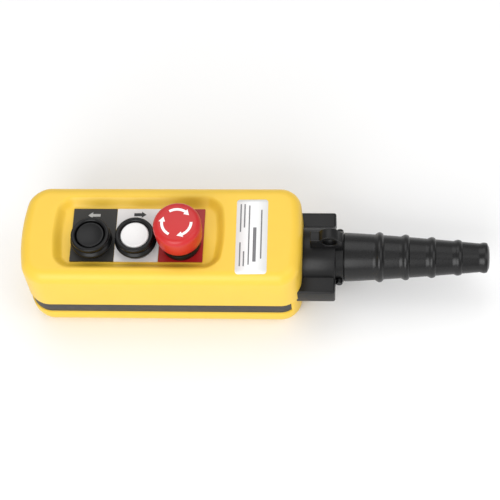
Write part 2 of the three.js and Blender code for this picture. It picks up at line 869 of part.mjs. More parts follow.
// Knurled screw that pins the boot's root in the collar.
function bootScrew(side) {
  const head = new THREE.CylinderGeometry(bootScrewHead, bootScrewHead, bootScrewHeight, 12);
  head.translate(bootScrewX, side * (collarRadius + seat + bootScrewHeight / 2), axisZ);
  const reach = [collarBore + seat, collarRadius + 1].map((y) => side * y);
  const shank = crossRod(bootScrewX, axisZ, screwShank, [Math.min(...reach), Math.max(...reach)]);
  return join(head, shank);
}

const bootRadius = (x) => bootBase - (bootBase - bootTip) * (Math.max(0, x) / bootLength) ** 1.2;
const ribHeight = (x) => 2.1 - 1.25 * (x / bootLength);

// Ribbed cone along X: points are [distance from the collar's mouth, radius].
function cableBoot() {
  const outer = [[-bootRoot, bootRootRadius], [fit, bootRootRadius], [fit, bootBase], [9, bootBase]];
  for (let i = 0; i < ribCount; i += 1) {
    const x = ribFirst + i * ribPitch;
    const crest = bootRadius(x) + ribHeight(x);
    outer.push([x - ribHalf, bootRadius(x - ribHalf)]);
    outer.push([x - ribHalf * 0.6, crest - ribHeight(x) * 0.3]);
    outer.push([x, crest]);
    outer.push([x + ribHalf * 0.6, crest - ribHeight(x) * 0.3]);
    outer.push([x + ribHalf, bootRadius(x + ribHalf)]);
  }
  outer.push([bootLength, bootMouth]);
  const bore = bootRootRadius - bootRootWall;
  const inner = [[bootLength, bootTip - bootWall], [0, bore], [-bootRoot, bore]];
  const profile = [...outer, ...inner, outer[0]];
  const points = profile.map(([x, radius]) => new THREE.Vector2(radius, x));
  return new THREE.LatheGeometry(points, 20).rotateZ(-Math.PI / 2).translate(mouthX, 0, axisZ);
}

add('neck_housing', neckHousing(), blackPlastic);
add('cord_clamp', cordClamp(), blackPlastic);
[-1, 1].forEach((side, i) => add(`cord_clamp_screw_${i + 1}`, clampScrew(side), steel));
[-1, 1].forEach((side, i) => add(`boot_screw_${i + 1}`, bootScrew(side), blackPlastic));
add('cable_boot', cableBoot(), rubber);

export default station;
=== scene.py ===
import json
from math import asin, cos, pi, radians, sin, sqrt

import bmesh
import bpy
from mathutils import Matrix, Vector


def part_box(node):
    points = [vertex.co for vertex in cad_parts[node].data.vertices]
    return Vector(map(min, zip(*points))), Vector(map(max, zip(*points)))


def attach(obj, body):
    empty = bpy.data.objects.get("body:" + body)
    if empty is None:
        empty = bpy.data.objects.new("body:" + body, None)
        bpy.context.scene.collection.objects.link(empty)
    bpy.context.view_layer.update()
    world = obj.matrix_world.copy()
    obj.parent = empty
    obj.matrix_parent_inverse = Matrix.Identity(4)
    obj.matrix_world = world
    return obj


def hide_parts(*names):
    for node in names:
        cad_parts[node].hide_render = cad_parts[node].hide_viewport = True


bl_info = {
    "name": "Pendant control station",
    "version": (1, 0, 0),
    "blender": (4, 5, 0),
    "location": "View3D > Sidebar > Station",
    "description": "Hand-held pendant control station built round its packed frame",
    "category": "Object",
}

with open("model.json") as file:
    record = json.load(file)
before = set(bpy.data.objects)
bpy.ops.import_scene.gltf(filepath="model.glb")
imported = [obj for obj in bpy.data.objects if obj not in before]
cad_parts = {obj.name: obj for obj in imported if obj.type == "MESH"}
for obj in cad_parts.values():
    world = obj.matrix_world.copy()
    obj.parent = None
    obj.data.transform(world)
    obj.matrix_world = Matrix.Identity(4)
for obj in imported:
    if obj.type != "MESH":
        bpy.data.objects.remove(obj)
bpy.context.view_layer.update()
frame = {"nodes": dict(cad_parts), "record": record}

MM = 0.001
UP = Vector((0, 0, 1))
STATIONS = ("left", "right", "stop")
SLOT_OF = {row["node"]: row["material_slot"] for row in frame["record"]["subparts"]}
BODY_OF = {
    node: body for body, nodes in frame["record"]["behaviour"]["bodies"].items() for node in nodes
}


# ---- places from the frame ----

def centre(node):
    low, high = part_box(node)
    return (low + high) / 2


def size(node):
    low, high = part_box(node)
    return high - low


PLATE_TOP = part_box("right_legend_plate")[1].z
OPERATOR_Y = centre("right_cap").y
PITCH = centre("right_cap").x - centre("left_cap").x
BODY_LOW, BODY_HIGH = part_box("front_cover")
PARTING = BODY_LOW.z
SEAL_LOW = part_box("seam_seal")[0].z
SEAL_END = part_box("seam_seal")[1].x
AXIS_Z = centre("cable_boot").z
MOUTH_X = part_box("neck_housing")[1].x
TIP_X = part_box("cable_boot")[1].x
COLLAR_REACH = 27.7 * MM
# the covers' cable end is notched for the neck, so its full reach comes from the collar's mouth
CABLE_X = MOUTH_X - COLLAR_REACH

# fits and details that several pieces share
GAP = 0.2 * MM             # between pieces that rest on each other
DRAFT = 1.2 * MM           # how much narrower the front is than the parting line
COVER_LAP = 0.9 * MM       # how far the front cover stands past the cable end
PLATE_MARGIN = 0.5 * MM    # floor of the well beside the plates
LIP_MARGIN = 0.3 * MM      # flat top left outside the well's lip
WELL_CORNER = 3 * MM       # plan radius of the well's floor
WELL_SHIFT = 2 * MM        # how much further the well reaches at the cable end
WELL_STEPS = 10            # rings in the well's sloping wall
WELL_BOW = 3.5 * MM        # how far the well's ends bow out
BARREL = 10.9 * MM         # radius of the operators' barrels
BARREL_FIT = 0.3 * MM      # between a barrel and its panel hole
BARREL_DEPTH = 8 * MM      # how far a barrel is drawn below the plates
THROAT = 20.75 * MM        # radius of the neck between its wings
COLLAR = 17.4 * MM
COLLAR_BORE = 14.8 * MM
PASSAGE = 12 * MM          # radius of the cable's way through the neck


# ---- sizes and colours a user would change ----

def length(name, description, default):
    return bpy.props.FloatProperty(
        name=name, description=description, default=default * MM, subtype="DISTANCE", unit="LENGTH")


def linear(code):
    parts = [int(code[i:i + 2], 16) / 255 for i in (0, 2, 4)]
    return [p / 12.92 if p <= 0.04045 else ((p + 0.055) / 1.055) ** 2.4 for p in parts]


def tint(name, description, code):
    return bpy.props.FloatVectorProperty(
        name=name, description=description, default=linear(code), subtype="COLOR", size=3)


class StationSizes(bpy.types.PropertyGroup):
    corner: length("Corner", "Plan radius of the housing's corners", 12.5)
    hand_bow: length("Hand bow", "How far the hand end bows out", 5.2)
    cable_bow: length("Cable bow", "How far the cable end bows out", 2.6)
    front_edge: length("Front edge", "Round edge of the front cover", 8.0)
    back_edge: length("Back edge", "Round edge of the rear cover", 10.9)
    wall: length("Wall", "Wall of the moulded covers", 2.6)
    well_run: length("Well run", "Plan width of the well's sloping wall", 9.0)
    arrow: length("Arrow", "Length of the printed arrows on the plates", 8.4)
    arrow_y: length("Arrow place", "Height of the printed arrows above the centre line", 15.5)
    print_lift: length("Print", "Thickness of printed marks", 0.06)


class StationColours(bpy.types.PropertyGroup):
    yellow: tint("Yellow", "Covers", "EBC23E")
    black: tint("Black", "Operators and neck", "0A0A0B")
    rubber: tint("Rubber", "Boot", "050506")
    # the seal's grey is partly painted sheen laid over dark rubber
    seal: tint("Seal", "Seam seal", "3A393B")
    red: tint("Red", "Mushroom head", "C01A1C")
    white: tint("White", "White cap and plate", "E4E4E3")


# ---- mesh helpers ----

def place_mesh(name, bm, material, angle):
    """Turns a bmesh into an object at the origin, smooth but for edges sharper than the angle."""
    mesh = bpy.data.meshes.new(name)
    bm.to_mesh(mesh)
    bm.free()
    piece = bpy.data.objects.new(name, mesh)
    bpy.context.scene.collection.objects.link(piece)
    mesh.materials.append(material)
    for face in mesh.polygons:
        face.use_smooth = True
    mesh.set_sharp_from_angle(angle=radians(angle))
    return piece


def finish_mesh(name, bm, node, material, angle=32, wall=0.0, bevel=0.0, flat=False):
    """A piece that stands for a CAD node and rides with that node's body."""
    piece = place_mesh(name, bm, material, angle)
    if wall:
        shell = piece.modifiers.new("wall", "SOLIDIFY")
        shell.thickness = wall
        shell.offset = -1
    if bevel:
        edge = piece.modifiers.new("edge", "BEVEL")
        edge.width = bevel
        edge.segments = 2
        edge.limit_method = "ANGLE"
        edge.angle_limit = radians(40)
    if flat:
        normals = piece.modifiers.new("normals", "WEIGHTED_NORMAL")
        normals.keep_sharp = True
    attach(piece, BODY_OF[node])
    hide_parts(node)
    return piece


def detail(name, bm, body, material, angle=32):
    """A piece with no CAD node of its own, such as a printed mark."""
    piece = place_mesh(name, bm, material, angle)
    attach(piece, body)
    return piece


def rounded(bm, low, high, z, corner, bows=(0.0, 0.0), segments=10, cuts=15):
    """Flat face: a rectangle with round corners, whose hand and cable ends bow out within its size."""
    half_y = (high.y - low.y) / 2
    left, right = low.x + bows[0], high.x - bows[1]
    place = Matrix.Translation(((left + right) / 2, (low.y + high.y) / 2, z))
    stretch = Matrix.Diagonal(((right - left) / 2, half_y, 1, 1))
    made = bmesh.ops.create_grid(bm, x_segments=1, y_segments=1, size=1, matrix=place @ stretch)
    face = made["verts"][0].link_faces[0]
    bmesh.ops.bevel(
        bm, geom=list(made["verts"]), offset=corner, offset_type="OFFSET", segments=segments,
        profile=0.5, affect="VERTICES", material=-1)
    bm.faces.ensure_lookup_table()
    face = max(bm.faces, key=lambda f: (abs(f.calc_center_median().z - z) < 1e-6, f.index))
    if any(bows):
        ends = [e for e in face.edges if abs(e.verts[0].co.x - e.verts[1].co.x) < 1e-7
                and abs(e.verts[0].co.y - e.verts[1].co.y) > half_y]
        bmesh.ops.bisect_edges(bm, edges=ends, cuts=cuts)
        mid = (left + right) / 2
        for v in face.verts:
            share = 1 - ((v.co.y - (low.y + high.y) / 2) / half_y) ** 2
            reach = abs(v.co.x - mid) / ((right - left) / 2)
            near = max(0.0, (reach - 0.8) / 0.2)
            v.co.x += (bows[1] if v.co.x > mid else -bows[0]) * share * near
    return face


def raise_face(bm, face, step, scale=None):
    """Extrudes a face and returns the moved copy; the starting face is removed."""
    made = bmesh.ops.extrude_face_region(bm, geom=[face])["geom"]
    verts = [g for g in made if isinstance(g, bmesh.types.BMVert)]
    top = [g for g in made if isinstance(g, bmesh.types.BMFace)][0]
    bmesh.ops.translate(bm, verts=verts, vec=step)
    if scale:
        middle = top.calc_center_bounds()
        bmesh.ops.scale(bm, verts=verts, vec=scale, space=Matrix.Translation(-middle))
    if face.is_valid:
        bmesh.ops.delete(bm, geom=[face], context="FACES_ONLY")
    return top


def circle(bm, x, y, z, radius, segments=32):
    made = bmesh.ops.create_circle(
        bm, segments=segments, radius=radius, matrix=Matrix.Translation((x, y, z)))
    return [e for e in {e for v in made["verts"] for e in v.link_edges}]


def spun(points, origin, axis, steps=64, edge=0.0, angle=30):
    """Turned body from closed (radius, height) points about an axis through the origin."""
    bm = bmesh.new()
    along = Vector(axis)
    side = Vector((0, 1, 0)) if abs(along.y) < 0.5 else Vector((1, 0, 0))
    verts = [bm.verts.new(Vector(origin) + side * r + along * h) for r, h in points]
    loop = [bm.edges.new((a, b)) for a, b in zip(verts, verts[1:] + verts[:1])]
    bmesh.ops.spin(
        bm, geom=verts + loop, cent=origin, axis=axis, angle=2 * pi, steps=steps, use_merge=True)
    bmesh.ops.remove_doubles(bm, verts=bm.verts, dist=1e-6)
    bmesh.ops.dissolve_degenerate(bm, edges=bm.edges, dist=1e-7)
    loose = [e for e in bm.edges if not e.link_faces]
    bmesh.ops.delete(bm, geom=loose, context="EDGES")
    bmesh.ops.recalc_face_normals(bm, faces=bm.faces)
    if edge:
        soften(bm, edge, angle)
    return bm


def soften(bm, width, angle=30, segments=3):
    sharp = [e for e in bm.edges if len(e.link_faces) == 2 and e.calc_face_angle(0) > radians(angle)]
    bmesh.ops.bevel(
        bm, geom=sharp, offset=width, offset_type="OFFSET", segments=segments, profile=0.5,
        affect="EDGES", clamp_overlap=True, material=-1)


def box_at(bm, low, high, width=0.0, segments=4):
    """Closed block between two corners with softened edges."""
    low, high = Vector(low), Vector(high)
    place = Matrix.Translation((low + high) / 2) @ Matrix.Diagonal((*(high - low), 1))
    made = bmesh.ops.create_cube(bm, size=1, matrix=place)
    if width:
        edges = list({e for v in made["verts"] for e in v.link_edges})
        bmesh.ops.bevel(
            bm, geom=edges, offset=width, offset_type="OFFSET", segments=segments, profile=0.5,
            affect="EDGES", clamp_overlap=True, material=-1)


# ---- materials ----

def node(tree, kind, settings=None, links=None):
    """Adds one shader node: settings are attributes or input values, links are inputs to sockets."""
    made = tree.nodes.new(kind)
    for key, value in (settings or {}).items():
        if key in made.inputs:
            made.inputs[key].default_value = value
        else:
            setattr(made, key, value)
    for key, socket in (links or {}).items():
        tree.links.new(socket, made.inputs[key])
    return made


BLOTCH = 14 * MM           # size of the patches over which a colour wanders


def finish_material(
        name, colour, rough, grain, depth, shade=0.06, metal=0.0, stretch=(1, 1, 1), shine=0.5):
    """Moulded or worked surface: grain is its spacing in mm, depth its relief in mm, shade how far
    the colour wanders from patch to patch, and shine the strength of its reflections."""
    material = bpy.data.materials.new(name)
    material.use_nodes = True
    material.diffuse_color = (*colour, 1)
    tree = material.node_tree
    shader = tree.nodes["Principled BSDF"]
    place = node(tree, "ShaderNodeTexCoord")
    scaled = node(tree, "ShaderNodeMapping", {"Scale": stretch}, {"Vector": place.outputs["Object"]})
    patches = node(tree, "ShaderNodeTexNoise", {"Scale": 1 / BLOTCH, "Detail": 4.0},
                   {"Vector": place.outputs["Object"]})
    fine = node(tree, "ShaderNodeTexNoise", {"Scale": 1 / (grain * MM), "Detail": 3.0},
                {"Vector": scaled.outputs["Vector"]})
    dark = [c * (1 - shade) for c in colour]
    light = [min(1.0, c * (1 + shade)) for c in colour]
    mix = node(tree, "ShaderNodeMix", {"data_type": "RGBA"})
    mix.inputs[6].default_value = (*dark, 1)
    mix.inputs[7].default_value = (*light, 1)
    tree.links.new(patches.outputs["Fac"], mix.inputs[0])
    tree.links.new(mix.outputs[2], shader.inputs["Base Color"])
    polish = node(tree, "ShaderNodeMapRange",
                  {"From Min": 0.3, "From Max": 0.7, "To Min": rough * 0.88, "To Max": rough * 1.12},
                  {"Value": fine.outputs["Fac"]})
    tree.links.new(polish.outputs["Result"], shader.inputs["Roughness"])
    relief = node(tree, "ShaderNodeBump", {"Strength": 0.6, "Distance": depth * MM},
                  {"Height": fine.outputs["Fac"]})
    tree.links.new(relief.outputs["Normal"], shader.inputs["Normal"])
    shader.inputs["Metallic"].default_value = metal
    shader.inputs["Specular IOR Level"].default_value = shine
    return material


def make_materials(colours):
    """One material for each slot of the record, named for what the real one is made of."""
    return {
        # moulded ABS, spark-eroded to a fine satin: soft wide highlights, even warm colour
        "yellow_plastic": finish_material("ABS moulded yellow", colours.yellow, 0.42, 0.7, 0.012, 0.03),
        # glass-filled nylon: charcoal black with a dull sheen
        "black_plastic": finish_material(
            "Nylon moulded black", colours.black, 0.34, 0.8, 0.02, 0.1, shine=0.3),
        # moulded EPDM: deep black with long clear highlights
        "boot_rubber": finish_material("EPDM moulded black", colours.rubber, 0.3, 1.1, 0.02, 0.1, shine=0.4),
        # extruded EPDM strip: dark rubber whose grey colour is partly painted sheen, mid grey in the light,
        # matt
        "seal_rubber": finish_material("EPDM extruded grey painted sheen", colours.seal, 0.6, 0.9, 0.03, 0.1,
                                       stretch=(0.15, 1, 1)),
        # polycarbonate, moulded and polished: cool white
        "white_plastic": finish_material(
            "Polycarbonate moulded white", colours.white, 0.3, 0.9, 0.008, 0.02),
        # polycarbonate, moulded: orange-red on the flanks
        "red_plastic": finish_material("Polycarbonate moulded red", colours.red, 0.36, 0.8, 0.01, 0.05),
        # nylon, moulded without dye: creamy and dull
        "natural_plastic": finish_material("Nylon moulded natural", linear("D8D2BE"), 0.5, 0.8, 0.02, 0.05),
        # nylon, moulded: dull dark red
        "red_block": finish_material("Nylon moulded red", linear("9E1A1C"), 0.5, 0.8, 0.02, 0.06),
        # printed aluminium sheet under a matt varnish
        "black_plate": finish_material(
            "Aluminium printed black", linear("2E2D2B"), 0.5, 0.6, 0.01, 0.08, shine=0.35),
        "white_plate": finish_material("Aluminium printed white", linear("DEDCDC"), 0.5, 0.6, 0.01, 0.03),
        "red_plate": finish_material("Aluminium printed red", linear("A00C10"), 0.45, 0.6, 0.01, 0.06),
        # polyester film with a satin face
        "label_film": finish_material("Polyester film white", linear("EFEFEE"), 0.35, 0.8, 0.006, 0.02),
        # zinc-plated steel, turned
        "steel": finish_material("Steel zinc plated", linear("B9BCC2"), 0.34, 0.5, 0.01, 0.08, metal=1.0),
        # stamped brass
        "brass": finish_material("Brass stamped", linear("C9A45A"), 0.3, 0.5, 0.01, 0.08, metal=1.0),
        # screen-printed ink
        "ink_dark": finish_material("Ink printed dark", linear("161618"), 0.5, 0.6, 0.004, 0.05),
        "ink_light": finish_material("Ink printed light", linear("B8B8B6"), 0.5, 0.6, 0.004, 0.05),
        "ink_white": finish_material("Ink printed white", linear("F2F2F0"), 0.4, 0.6, 0.004, 0.03),
        "ink_grey": finish_material("Ink printed grey", linear("77777A"), 0.5, 0.6, 0.004, 0.05),
    }


MATERIALS = {}


# ---- pieces ----

class MaterialsOperator(bpy.types.Operator):
    """Makes the materials and gives every carried-over piece its own"""
    bl_idname = "station.materials"
    bl_label = "Materials"

    def execute(self, context):
        MATERIALS.update(make_materials(context.scene.station_colours))
        for name, piece in frame["nodes"].items():
            piece.data.materials.clear()
            piece.data.materials.append(MATERIALS[SLOT_OF[name]])
        return {"FINISHED"}


class CoversOperator(bpy.types.Operator):
    """Makes the two moulded covers"""
    bl_idname = "station.covers"
    bl_label = "Covers"

    def execute(self, context):
        sizes = context.scene.station_sizes
        self.front(sizes)
        self.rear(sizes)
        return {"FINISHED"}

    def front(self, sizes):
        bm = bmesh.new()
        low, high = BODY_LOW, BODY_HIGH.copy()
        high.x = CABLE_X + COVER_LAP
        bows = (sizes.hand_bow, sizes.cable_bow)
        face = rounded(bm, low, high, low.z, sizes.corner, bows)
        lean = 1 - DRAFT / (high.y - low.y)
        lean_x = 1 - DRAFT / (high.x - low.x)
        top = raise_face(bm, face, UP * (high.z - low.z), (lean_x, lean, 1))
        bmesh.ops.bevel(
            bm, geom=list(top.edges), offset=sizes.front_edge, offset_type="OFFSET", segments=10,
            profile=0.5, affect="EDGES", material=-1)
        top = max(bm.faces, key=lambda f: (round(f.calc_center_median().z, 6), f.calc_area()))
        rim = list(top.edges)
        bmesh.ops.delete(bm, geom=[top], context="FACES_ONLY")
        # the well: an opening in the top, then a wall that falls in an S to the floor
        plates_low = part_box("left_legend_plate")[0]
        plates_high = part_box("stop_legend_plate")[1]
        # the well's lip stays inside the flat of the top
        flat = high.y * lean - sizes.front_edge
        run = min(sizes.well_run, flat - LIP_MARGIN - plates_high.y - PLATE_MARGIN)
        reach = PLATE_MARGIN + sizes.well_run + WELL_BOW
        well_low = Vector((plates_low.x - reach, plates_low.y - PLATE_MARGIN - run, 0))
        well_high = Vector(
            (plates_high.x + reach + WELL_SHIFT, plates_high.y + PLATE_MARGIN + run, 0))
        floor = rounded(bm, well_low, well_high, high.z, WELL_CORNER + run, (WELL_BOW, WELL_BOW))
        depth = high.z - plates_low.z + GAP
        steps = WELL_STEPS
        for i in range(steps):
            fall = (cos(pi * i / steps) - cos(pi * (i + 1) / steps)) / 2
            bmesh.ops.inset_region(
                bm, faces=[floor], thickness=run / steps, use_even_offset=True, use_boundary=True)
            bmesh.ops.translate(bm, verts=list(floor.verts), vec=-UP * depth * fall)
        lip = [e for e in bm.edges if e.is_boundary and e not in rim
               and all(abs(v.co.z - high.z) < 1e-6 for v in e.verts)]
        # holes for the operators' barrels
        hole_edges = list(floor.edges)
        z = floor.calc_center_median().z
        bmesh.ops.delete(bm, geom=[floor], context="FACES_ONLY")
        for name in STATIONS:
            middle = centre(f"{name}_nut")
            hole_edges += circle(bm, middle.x, OPERATOR_Y, z, BARREL + BARREL_FIT)
        bmesh.ops.triangle_fill(bm, edges=hole_edges, use_beauty=True, normal=UP)
        bmesh.ops.triangle_fill(bm, edges=rim + lip, use_beauty=True, normal=UP)
        bmesh.ops.recalc_face_normals(bm, faces=bm.faces)
        point_out(bm, (low + high) / 2)
        finish_mesh("front_shell", bm, "front_cover", MATERIALS["yellow_plastic"], wall=sizes.wall,
                    flat=True)

    def rear(self, sizes):
        bm = bmesh.new()
        low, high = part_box("rear_cover")[0].copy(), BODY_HIGH.copy()
        low.x, high.x = BODY_LOW.x, CABLE_X
        shelf = SEAL_LOW - GAP
        face = rounded(bm, low, high, shelf, sizes.corner, (sizes.hand_bow, sizes.cable_bow))
        upper = rounded(bm, low, high, PARTING - GAP, sizes.corner, (sizes.hand_bow, sizes.cable_bow))
        upper_edges = list(upper.edges)
        bmesh.ops.delete(bm, geom=[upper], context="FACES_ONLY")
        bottom = raise_face(bm, face, UP * (low.z - shelf))
        bmesh.ops.bevel(
            bm, geom=list(bottom.edges), offset=sizes.back_edge, offset_type="OFFSET", segments=10,
            profile=0.5, affect="EDGES", material=-1)
        shelf_edges = [e for e in bm.edges if e.is_boundary
                       and all(abs(v.co.z - shelf) < 1e-6 for v in e.verts)]
        bmesh.ops.bridge_loops(bm, edges=shelf_edges + upper_edges)
        # the cable end stands up past the seal
        cut = SEAL_END + 0.3 * MM
        bmesh.ops.bisect_plane(
            bm, geom=list(bm.verts) + list(bm.edges) + list(bm.faces), dist=1e-7,
            plane_co=(cut, 0, 0), plane_no=(1, 0, 0))
        spare = [f for f in bm.faces
                 if f.calc_center_median().z > shelf + 1e-5 and f.calc_center_median().x < cut]
        bmesh.ops.delete(bm, geom=spare, context="FACES")
        # sunk holes for the cover screws
        backs = [f for f in bm.faces if f.calc_center_median().z < low.z + 1e-6]
        rim = [e for f in backs for e in f.edges if sum(g in backs for g in e.link_faces) == 1]
        bmesh.ops.delete(bm, geom=backs, context="FACES_ONLY")
        inner = [e for e in bm.edges if not e.link_faces]
        bmesh.ops.delete(bm, geom=inner, context="EDGES")
        rim = [e for e in rim if e.is_valid]
        holes = []
        for i in range(1, 5):
            screw = centre(f"cover_screw_{i}")
            radius = size(f"cover_screw_{i}").x / 2 + 0.3 * MM
            holes.append(circle(bm, screw.x, screw.y, low.z, radius, 24))
        bmesh.ops.triangle_fill(
            bm, edges=rim + [e for ring in holes for e in ring], use_beauty=True, normal=-UP)
        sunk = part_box("cover_screw_1")[0].z + 3.6 * MM
        for ring in holes:
            made = bmesh.ops.extrude_edge_only(bm, edges=ring)["geom"]
            verts = [g for g in made if isinstance(g, bmesh.types.BMVert)]
            bmesh.ops.translate(bm, verts=verts, vec=UP * (sunk - low.z))
            cap = [g for g in made if isinstance(g, bmesh.types.BMEdge)]
            bmesh.ops.holes_fill(bm, edges=cap, sides=0)
        bmesh.ops.recalc_face_normals(bm, faces=bm.faces)
        point_out(bm, (low + high) / 2)
        finish_mesh("rear_shell", bm, "rear_cover", MATERIALS["yellow_plastic"], wall=sizes.wall,
                    flat=True)


def point_out(bm, middle):
    """Turns an open skin so that its largest face looks away from the middle."""
    far = max(bm.faces, key=lambda f: f.calc_area())
    if (far.calc_center_median() - middle).dot(far.normal) < 0:
        bmesh.ops.reverse_faces(bm, faces=bm.faces)


class SealOperator(bpy.types.Operator):
    """Makes the rubber seal in the seam"""
    bl_idname = "station.seal"
    bl_label = "Seal"

    def execute(self, context):
        sizes = context.scene.station_sizes
        bm = bmesh.new()
        low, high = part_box("seam_seal")
        face_low = Vector((low.x, low.y, 0))
        face_high = Vector((CABLE_X - (low.x - BODY_LOW.x), high.y, 0))
        groove = 1.2 * MM
        step = Vector((groove, groove, 0))
        top = high.z - 1.8 * MM
        corner = sizes.corner - (low.x - BODY_LOW.x)
        for start, end, inset in ((low.z, top, 0), (low.z + 0.1 * MM, high.z, 1)):
            face = rounded(
                bm, face_low + step * inset, face_high - step * inset, start, corner - groove * inset,
                (sizes.hand_bow, sizes.cable_bow))
            lid = raise_face(bm, face, UP * (end - start))
            bmesh.ops.delete(bm, geom=[lid], context="FACES_ONLY")
        bmesh.ops.bisect_plane(
            bm, geom=list(bm.verts) + list(bm.edges) + list(bm.faces), dist=1e-7,
            plane_co=(SEAL_END, 0, 0), plane_no=(1, 0, 0), clear_outer=True)
        for f in bm.faces:
            if (f.calc_center_median() - (low + high) / 2).dot(f.normal) < 0:
                f.normal_flip()
        finish_mesh("seal_strip", bm, "seam_seal", MATERIALS["seal_rubber"], wall=1.6 * MM, bevel=0.25 * MM)
        return {"FINISHED"}


class LabelOperator(bpy.types.Operator):
    """Makes the blank-faced rating label with plain bars in place of words"""
    bl_idname = "station.label"
    bl_label = "Label"

    def execute(self, context):
        sizes = context.scene.station_sizes
        middle_x = centre("rating_label").x
        flat = BODY_HIGH.y - 0.6 * MM - sizes.front_edge
        low_y, high_y = -31 * MM, 24.6 * MM
        half_x = size("rating_label").x / 2
        turn = Matrix.Rotation(radians(0.8), 4, "Z")
        pivot = Matrix.Translation((middle_x, (low_y + high_y) / 2, 0))

        def sheet(bm, low, high, lift, corner):
            face = rounded(bm, Vector((*low, 0)), Vector((*high, 0)), 0, corner, segments=5)
            count = int((high[1] - low[1]) / (0.6 * MM))
            region = [face]
            for i in range(1, count):
                y = low[1] + (high[1] - low[1]) * i / count
                geom = [g for f in region for g in (f, *f.edges, *f.verts)]
                made = bmesh.ops.bisect_plane(
                    bm, geom=list(set(geom)), dist=1e-8, plane_co=(0, y, 0), plane_no=(0, 1, 0))
                region = list({g for g in made["geom"] if isinstance(g, bmesh.types.BMFace)
                               and g.calc_center_median().y > y})
            for v in bm.verts:
                if abs(v.co.z) < 1e-9:
                    v.co = pivot @ turn @ pivot.inverted() @ v.co
                    over = max(0.0, abs(v.co.y) - flat)
                    radius = sizes.front_edge
                    drop = radius - sqrt(max(0.0, radius ** 2 - over ** 2))
                    v.co.z = BODY_HIGH.z + lift - drop

        bm = bmesh.new()
        sheet(bm, (middle_x - half_x, low_y), (middle_x + half_x, high_y), 0.12 * MM, 2 * MM)
        finish_mesh("label_film", bm, "rating_label", MATERIALS["label_film"], wall=0.1 * MM)
        bars = bmesh.new()
        columns = (
            (-7.6, 0.9, (0.10, 0.42)), (-7.6, 0.9, (0.56, 0.94)), (-5.0, 0.9, (0.10, 0.30)),
            (-5.0, 0.9, (0.62, 0.94)), (-1.8, 0.9, (0.12, 0.92)), (2.0, 2.2, (0.16, 0.62)),
            (6.4, 0.9, (0.20, 0.86)),
        )
        for x, width, (start, stop) in columns:
            span = high_y - low_y
            sheet(
                bars, (middle_x + (x - width / 2) * MM, low_y + span * start),
                (middle_x + (x + width / 2) * MM, low_y + span * stop), 0.16 * MM, 0.2 * MM)
        ink = detail("label_bars", bars, "housing", MATERIALS["ink_grey"])
        ink.modifiers.new("print", "SOLIDIFY").thickness = 0.04 * MM
        return {"FINISHED"}


class PlatesOperator(bpy.types.Operator):
    """Makes the three legend plates and the two printed arrows"""
    bl_idname = "station.plates"
    bl_label = "Legend plates"

    def execute(self, context):
        sizes = context.scene.station_sizes
        for name in STATIONS:
            node_name = f"{name}_legend_plate"
            low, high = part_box(node_name)
            bm = bmesh.new()
            face = rounded(bm, low, high, low.z, 0.4 * MM, segments=3)
            rim = list(face.edges)
            bmesh.ops.delete(bm, geom=[face], context="FACES_ONLY")
            rim += circle(bm, centre(f"{name}_nut").x, OPERATOR_Y, low.z, 11.1 * MM, 48)
            bmesh.ops.triangle_fill(bm, edges=rim, use_beauty=True, normal=UP)
            made = bmesh.ops.extrude_face_region(bm, geom=list(bm.faces), use_keep_orig=True)["geom"]
            verts = [g for g in made if isinstance(g, bmesh.types.BMVert)]
            bmesh.ops.translate(bm, verts=verts, vec=UP * (high.z - low.z))
            bmesh.ops.recalc_face_normals(bm, faces=bm.faces)
            finish_mesh(f"{name}_plate", bm, node_name, MATERIALS[SLOT_OF[node_name]], bevel=0.12 * MM)
        for name, way, ink, shaft, across, up in (
                ("left", -1, "ink_light", 2.0, -0.6, -0.6), ("right", 1, "ink_dark", 2.3, 0.8, 0.0)):
            self.arrow(sizes, name, way, ink, shaft * MM, Vector((across, up, 0)) * MM)
        return {"FINISHED"}

    def arrow(self, sizes, name, way, ink, shaft, shift):
        x, y = centre(f"{name}_nut").x + shift.x, sizes.arrow_y + shift.y
        long, head = sizes.arrow, sizes.arrow * 0.38
        wide = sizes.arrow * 0.28
        tail, neck, tip = x - way * long / 2, x + way * (long / 2 - head), x + way * long / 2
        bm = bmesh.new()
        corners = [(tail, -shaft / 2), (neck, -shaft / 2), (neck, -wide), (tip, 0), (neck, wide),
                   (neck, shaft / 2), (tail, shaft / 2)]
        verts = [bm.verts.new((cx, y + cy, PLATE_TOP)) for cx, cy in corners]
        face = bm.faces.new(verts)
        made = bmesh.ops.extrude_face_region(bm, geom=[face], use_keep_orig=True)["geom"]
        lifted = [g for g in made if isinstance(g, bmesh.types.BMVert)]
        bmesh.ops.translate(bm, verts=lifted, vec=UP * sizes.print_lift)
        bmesh.ops.recalc_face_normals(bm, faces=bm.faces)
        detail(f"{name}_arrow", bm, "housing", MATERIALS[ink])


